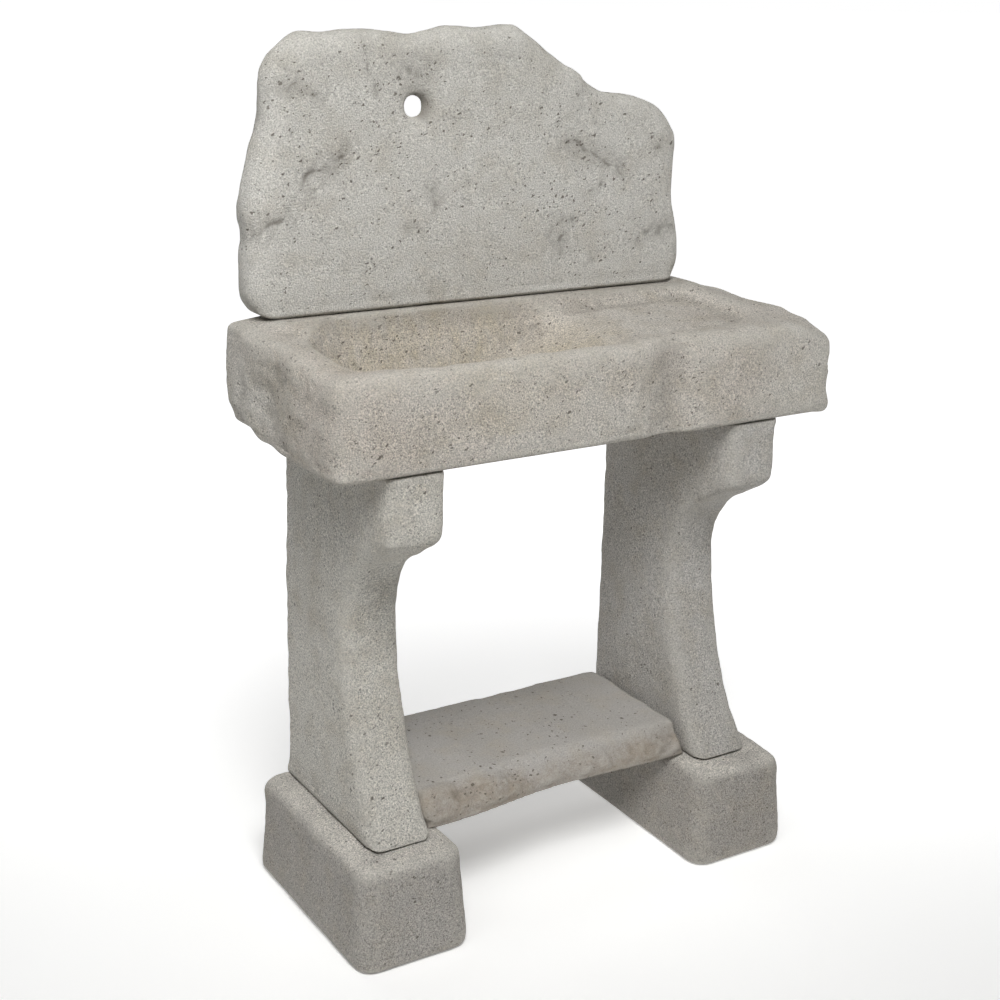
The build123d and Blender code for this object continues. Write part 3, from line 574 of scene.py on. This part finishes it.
# Damp in the bowl, up to a line that is higher on the rear wall, where it dries in runs
points = readPoints(basin.data)[0]
across, deep, high = points.T / mm
apart = (points[:, :2] / mm - basinLook["bowlMiddle"]) / basinLook["bowlHalf"]
damp = ramp(np.linalg.norm(apart, axis=1), 1.35, -0.35)
rearWall = ramp(deep, basinLook["rearFrom"], basinLook["rearFade"])
top = basinLook["dampTop"] + rearWall * basinLook["rearRise"]
damp *= ramp(high, top, -basinLook["dampFade"]) * (high > basinLook["dampFloor"])
runs = waviness(points * (1, 1, 0.15), 24, 81) + 0.6 * waviness(points * (1, 1, 0.2), 9, 82)
damp *= 1 - rearWall * np.clip(0.35 - 0.5 * runs, 0, 0.75)
setAttribute(basin.data, "stainAndPaintedLight", damp * basinLook["dampShare"])
atEnds = ramp(np.abs(across), basinLook["roughFrom"], basinLook["roughFade"])
setAttribute(basin.data, "rough", atEnds * basinLook["roughShare"])
basinStone = castStone("castStoneBasin", {**stoneLook, "pale": "#d6d2ca", "deep": "#cec6bc",
                                          "stainAndPaintedLight": "#c9bfaa", "mottleShare": 0.45, "grainShade": 0.72,
                                          "grainRelief": 4.6})
finishCasting(basin, "basin", basinLook["relief"], basinStone)

# Legs: concave front under a square corbel, the right one painted darker as painted shade, with tops that
# close the joint
legLook = {
    "voxel": 2.5, "smoothing": 14, "evenOut": 3, "joints": (155.0, 695.0),
    "liftFrom": 686.0, "liftRun": 8.0, "lift": 1.6,
    "pits": ((5.5, 0.70, 1.6), (10.0, 0.60, 2.4), (17.0, 0.42, 3.0)),
    "relief": {"Swell size": 0.14, "Swell depth": 0.0020, "Ripple size": 0.018, "Ripple depth": 0.0006,
               "Edge size": 0.04, "Edge depth": 0.0025},
}
# The right leg's tones are darker than the left's: painted shade, as the light falls off to the right
for node, name, seed, pale, dark in (("left_leg", "leftLeg", 21, "#dedbd3", "#d5d1c8"),
                                     ("right_leg", "rightLeg", 34, "#cfccc7", "#c4c0b9")):
    legStone = castStone("castStone" + name[0].upper() + name[1:],
                         {**stoneLook, "pale": pale, "deep": dark, "grainShade": 0.78, "grainRelief": 5.0,
                          "pits": legLook["pits"]})
    leg = blankOf(node, name, legLook)
    points = readPoints(leg.data)[0]
    points[:, 2] += ramp(points[:, 2] / mm, legLook["liftFrom"], legLook["liftRun"]) * legLook["lift"] * mm
    writePoints(leg.data, points)
    finishCasting(leg, node, {**legLook["relief"], "Seed": seed}, legStone)

# Feet: blocks with generously rounded edges, their tops painted paler as painted top light and their edges
# painted pale as a painted highlight
footLook = {
    "voxel": 1.9, "smoothing": 40, "evenOut": 4, "joints": (),
    "relief": {"Swell size": 0.10, "Swell depth": 0.0022, "Ripple size": 0.018, "Ripple depth": 0.0006,
               "Edge size": 0.04, "Edge depth": 0.0030},
}
footStone = castStone("castStoneFeet", {**stoneLook, "pale": "#b8b4ae", "deep": "#aca7a0", "stainAndPaintedLight": "#ece7de",
                                        "rubAndHighlightShare": 0.6, "grainShade": 0.78, "grainRelief": 5.0,
                                        "pits": legLook["pits"]})
for node, name, seed in (("left_foot", "leftFoot", 45), ("right_foot", "rightFoot", 52)):
    foot = blankOf(node, name, footLook)
    # Painted light: faces that look up are painted paler, where the top light falls
    paintedTopLight = np.clip(1.4 * readPoints(foot.data)[1][:, 2] - 0.25, 0, 1)
    setAttribute(foot.data, "stainAndPaintedLight", paintedTopLight)
    finishCasting(foot, node, {**footLook["relief"], "Seed": seed}, footStone)

# Shelf: smooth grey top and a rough pitched front edge, stained brown
shelfLook = {
    "voxel": 2.1, "smoothing": 30, "evenOut": 4, "joints": (154.0,), "frontSteps": 90,
    "roughFrom": -54.0, "roughFade": 16.0, "stainFade": 18.0, "stainAndPaintedLightShare": 0.9,
    "relief": {"Swell size": 0.12, "Swell depth": 0.0016, "Ripple size": 0.02, "Ripple depth": 0.0005,
               "Edge size": 0.05, "Edge depth": 0.0030, "Rough size": 0.08, "Rough depth": 0.0110,
               "Seed": 63.0},
}
shelf = blankOf("shelf_slab", "shelfSlab", shelfLook)
points, normals = readPoints(shelf.data)
deep = points[:, 1] / mm
front = ramp(deep, shelfLook["roughFrom"], -shelfLook["roughFade"]) * np.clip(normals[:, 2] + 0.9, 0, 1)
easeShape(shelf.data, front, shelfLook["frontSteps"])
setAttribute(shelf.data, "rough", front)
stained = ramp(deep, shelfLook["roughFrom"], -shelfLook["stainFade"])
setAttribute(shelf.data, "stainAndPaintedLight", shelfLook["stainAndPaintedLightShare"] * stained)
shelfStone = castStone("castStoneShelf", {**stoneLook, "pale": "#b5b2ae", "deep": "#aaa6a0",
                                          "stainAndPaintedLight": "#978d80", "grainShade": 0.28, "grainRelief": 1.8,
                                          "rubAndHighlightShare": 0.14, "hollowShare": 0.2})
finishCasting(shelf, "shelf_slab", shelfLook["relief"], shelfStone)

mortarLook = {"sandSize": 2.0, "sandDepth": 0.6, "deep": "#7d7870", "pale": "#9a958b", "roughness": 0.95}


# Setting mortar: trowelled sand and cement, dull and darker than the castings, so that joints read as lines
def settingMortar(look):
    material, tree, shader, place = startMaterial("settingMortar")
    sand = addNode(tree, "ShaderNodeTexNoise", {"Vector": place, "Scale": perMetre(look["sandSize"]),
                                                "Detail": 4.0}).outputs[0]
    tone = addNode(tree, "ShaderNodeMix", {0: sand, 6: linear(look["deep"]), 7: linear(look["pale"])},
                   data_type="RGBA").outputs[2]
    bump = addNode(tree, "ShaderNodeBump", {"Strength": 0.8, "Distance": look["sandDepth"] * mm,
                                            "Height": sand}).outputs[0]
    setInputs(tree, shader, {"Base Color": tone, "Roughness": look["roughness"], "Normal": bump})
    return material


steelLook = {"lineSize": 0.8, "lineStretch": 0.04, "speckSize": 5, "deep": "#a9abad", "pale": "#c9cbcc",
             "rust": "#7a5236"}


# Drawn steel rod: bright grey metal with lengthwise draw lines, coarser than real ones, and some rust specks
def drawnSteel(look):
    material, tree, shader, place = startMaterial("drawnSteel")
    along = addNode(tree, "ShaderNodeMapping", {"Vector": place,
                                                "Scale": (1.0, 1.0, look["lineStretch"])}).outputs[0]
    lines = addNode(tree, "ShaderNodeTexNoise", {"Vector": along, "Scale": perMetre(look["lineSize"]),
                                                 "Detail": 2.0}).outputs[0]
    tone = addNode(tree, "ShaderNodeMix", {0: lines, 6: linear(look["deep"]), 7: linear(look["pale"])},
                   data_type="RGBA").outputs[2]
    specks = addNode(tree, "ShaderNodeTexNoise", {"Vector": place, "Scale": perMetre(look["speckSize"]),
                                                  "Detail": 5.0}).outputs[0]
    rust = addNode(tree, "ShaderNodeMapRange", {0: specks, 1: 0.60, 2: 0.70}).outputs[0]
    tone = addNode(tree, "ShaderNodeMix", {0: rust, 6: tone, 7: linear(look["rust"])},
                   data_type="RGBA").outputs[2]
    rough = addNode(tree, "ShaderNodeMapRange", {0: lines, 3: 0.32, 4: 0.5}).outputs[0]
    setInputs(tree, shader, {"Base Color": tone, "Roughness": rough, "Metallic": 1.0})
    return material


brassLook = {"patchSize": 12, "patchDepth": 0.2, "bright": "#a58a55", "brown": "#6b5836"}


# Dulled cast brass: a warm metal gone brown in patches, with a soft shine where water runs over it
def dulledBrass(look):
    material, tree, shader, place = startMaterial("dulledBrass")
    patches = addNode(tree, "ShaderNodeTexNoise", {"Vector": place, "Scale": perMetre(look["patchSize"]),
                                                   "Detail": 6.0}).outputs[0]
    share = addNode(tree, "ShaderNodeMapRange", {0: patches, 1: 0.38, 2: 0.64}).outputs[0]
    tone = addNode(tree, "ShaderNodeMix", {0: share, 6: linear(look["bright"]), 7: linear(look["brown"])},
                   data_type="RGBA").outputs[2]
    rough = addNode(tree, "ShaderNodeMapRange", {0: patches, 1: 0.3, 2: 0.7, 3: 0.34, 4: 0.6}).outputs[0]
    bump = addNode(tree, "ShaderNodeBump", {"Strength": 0.4, "Distance": look["patchDepth"] * mm,
                                            "Height": patches}).outputs[0]
    setInputs(tree, shader, {"Base Color": tone, "Roughness": rough, "Metallic": 1.0, "Normal": bump})
    return material


rubberLook = {"bloomSize": 6, "black": "#1b1b1b", "bloom": "#3a3936"}


# Sheet rubber: cut from rolled sheet, near black and matt with a dusty bloom
def sheetRubber(look):
    material, tree, shader, place = startMaterial("sheetRubber")
    bloom = addNode(tree, "ShaderNodeTexNoise", {"Vector": place, "Scale": perMetre(look["bloomSize"]),
                                                 "Detail": 5.0}).outputs[0]
    tone = addNode(tree, "ShaderNodeMix", {0: bloom, 6: linear(look["black"]), 7: linear(look["bloom"])},
                   data_type="RGBA").outputs[2]
    rough = addNode(tree, "ShaderNodeMapRange", {0: bloom, 3: 0.6, 4: 0.85}).outputs[0]
    setInputs(tree, shader, {"Base Color": tone, "Roughness": rough})
    return material


# Beds, dowels and the waste keep their own meshes and get the finish of their slot
slotFinish = {"setting_mortar": settingMortar(mortarLook), "dowel_steel": drawnSteel(steelLook),
              "waste_metal": dulledBrass(brassLook), "waste_rubber": sheetRubber(rubberLook)}
for subpart in frame["record"]["subparts"]:
    if subpart["material_slot"] in slotFinish:
        shape = frame["nodes"][subpart["node"]].data
        shape.materials.clear()
        shape.materials.append(slotFinish[subpart["material_slot"]])
print("beds, dowels and waste finished")

# Stage sizes in metres
stageLook = {"floorHalf": 80.0, "floorDrop": 0.0003, "cloudSize": 600, "paper": ("#f4f4f3", "#f9f9f8"),
             "backward": (0.528, 0.849, 0.0), "glowFrom": -0.9, "glowFull": 1.7, "glow": 0.97,
             "skyStrength": 0.05, "horizonStrength": 1.0, "skyFade": (0.03, 0.35), "skyTurn": (-0.3, 0.3),
             # Softboxes: place, width, height, watts and the height that they aim at
             "lights": {"key": ((-1.0, -1.9, 3.0), 1.2, 1.2, 88.0, 0.95),
                        "nearTop": ((-0.4, -0.8, 2.6), 1.0, 1.0, 9.0, 0.75),
                        "leftTop": ((-1.9, -0.7, 2.7), 1.4, 1.4, 10.0, 0.75),
                        "rearTop": ((-0.3, 1.7, 2.9), 1.6, 1.2, 11.0, 0.75)}}


# Studio floor: seamless matt paper, pale and nearly even, with a painted glow from its own emission that
# grows behind the object
def studioPaper(look):
    material, tree, shader, place = startMaterial("studioPaper")
    clouds = addNode(tree, "ShaderNodeTexNoise", {"Vector": place, "Scale": perMetre(look["cloudSize"]),
                                                  "Detail": 2.0}).outputs[0]
    greyer, whiter = [linear(shade) for shade in look["paper"]]
    tone = addNode(tree, "ShaderNodeMix", {0: clouds, 6: greyer, 7: whiter}, data_type="RGBA").outputs[2]
    behind = addNode(tree, "ShaderNodeVectorMath", {0: place, 1: look["backward"]},
                     operation="DOT_PRODUCT").outputs["Value"]
    glow = addNode(tree, "ShaderNodeMapRange", {0: behind, 1: look["glowFrom"], 2: look["glowFull"], 3: 0.0,
                                                4: look["glow"]},
                   interpolation_type="SMOOTHSTEP").outputs[0]
    setInputs(tree, shader, {"Base Color": tone, "Emission Strength": glow, "Roughness": 0.95,
                             "Emission Color": linear("#ffffff"), "Specular IOR Level": 0.1})
    return material


floorShape = bmesh.new()
bmesh.ops.create_grid(floorShape, x_segments=12, y_segments=12, size=stageLook["floorHalf"])
bmesh.ops.translate(floorShape, verts=floorShape.verts, vec=(0, 0, -stageLook["floorDrop"]))
floorMesh = bpy.data.meshes.new("studioFloor")
floorShape.to_mesh(floorMesh)
floorShape.free()
floorMesh.materials.append(studioPaper(stageLook))
floor = bpy.data.objects.new("studioFloor", floorMesh)
bpy.context.scene.collection.objects.link(floor)

for name, (place, width, height, power, aim) in stageLook["lights"].items():
    box = bpy.data.lights.new(name, "AREA")
    box.shape = "RECTANGLE"
    box.size = width
    box.size_y = height
    box.energy = power
    lamp = bpy.data.objects.new(name, box)
    toAim = Vector((0, 0, aim)) - Vector(place)
    lamp.matrix_world = Matrix.Translation(place) @ toAim.to_track_quat("-Z", "Y").to_matrix().to_4x4()
    bpy.context.scene.collection.objects.link(lamp)

# Sky: dim overhead, and white low down behind the object, where it meets the floor
world = bpy.data.worlds.new("studioSky")
bpy.context.scene.world = world
world.use_nodes = True
skyTree = world.node_tree
fadeFrom, fadeTo = stageLook["skyFade"]
turnFrom, turnTo = stageLook["skyTurn"]
direction = addNode(skyTree, "ShaderNodeTexCoord").outputs["Generated"]
upward = addNode(skyTree, "ShaderNodeSeparateXYZ", {0: direction}).outputs[2]
low = addNode(skyTree, "ShaderNodeMapRange", {0: upward, 1: fadeFrom, 2: fadeTo, 3: 1.0, 4: 0.0}).outputs[0]
behind = addNode(skyTree, "ShaderNodeVectorMath", {0: direction, 1: stageLook["backward"]},
                 operation="DOT_PRODUCT").outputs["Value"]
behind = addNode(skyTree, "ShaderNodeMapRange", {0: behind, 1: turnFrom, 2: turnTo}).outputs[0]
share = addNode(skyTree, "ShaderNodeMath", {0: low, 1: behind}, operation="MULTIPLY").outputs[0]
brightness = addNode(skyTree, "ShaderNodeMapRange", {0: share, 3: stageLook["skyStrength"],
                                                     4: stageLook["horizonStrength"]}).outputs[0]
setInputs(skyTree, skyTree.nodes["Background"], {"Color": linear("#ffffff"), "Strength": brightness})
bpy.context.scene.view_settings.view_transform = "Standard"

# Camera at the photo's place: yaw, pitch and roll in degrees, place in metres
cameraLook = {"yaw": -31.891, "pitch": -18.158, "roll": 1.179, "place": (-1.225356, -1.863407, 1.309770),
              "lens": 58.483, "sensor": 36.0, "clipEnd": 60.0}
lens = bpy.data.cameras.new("photoCamera")
lens.lens = cameraLook["lens"]
lens.sensor_width = cameraLook["sensor"]
lens.clip_end = cameraLook["clipEnd"]
camera = bpy.data.objects.new("photoCamera", lens)
turn = Matrix.Rotation(math.radians(cameraLook["yaw"]), 4, "Z")
turn = turn @ Matrix.Rotation(math.pi / 2 + math.radians(cameraLook["pitch"]), 4, "X")
turn = turn @ Matrix.Rotation(math.radians(cameraLook["roll"]), 4, "Z")
camera.matrix_world = Matrix.Translation(cameraLook["place"]) @ turn
bpy.context.scene.collection.objects.link(camera)
bpy.context.scene.camera = camera
print("stage, lights and camera set")
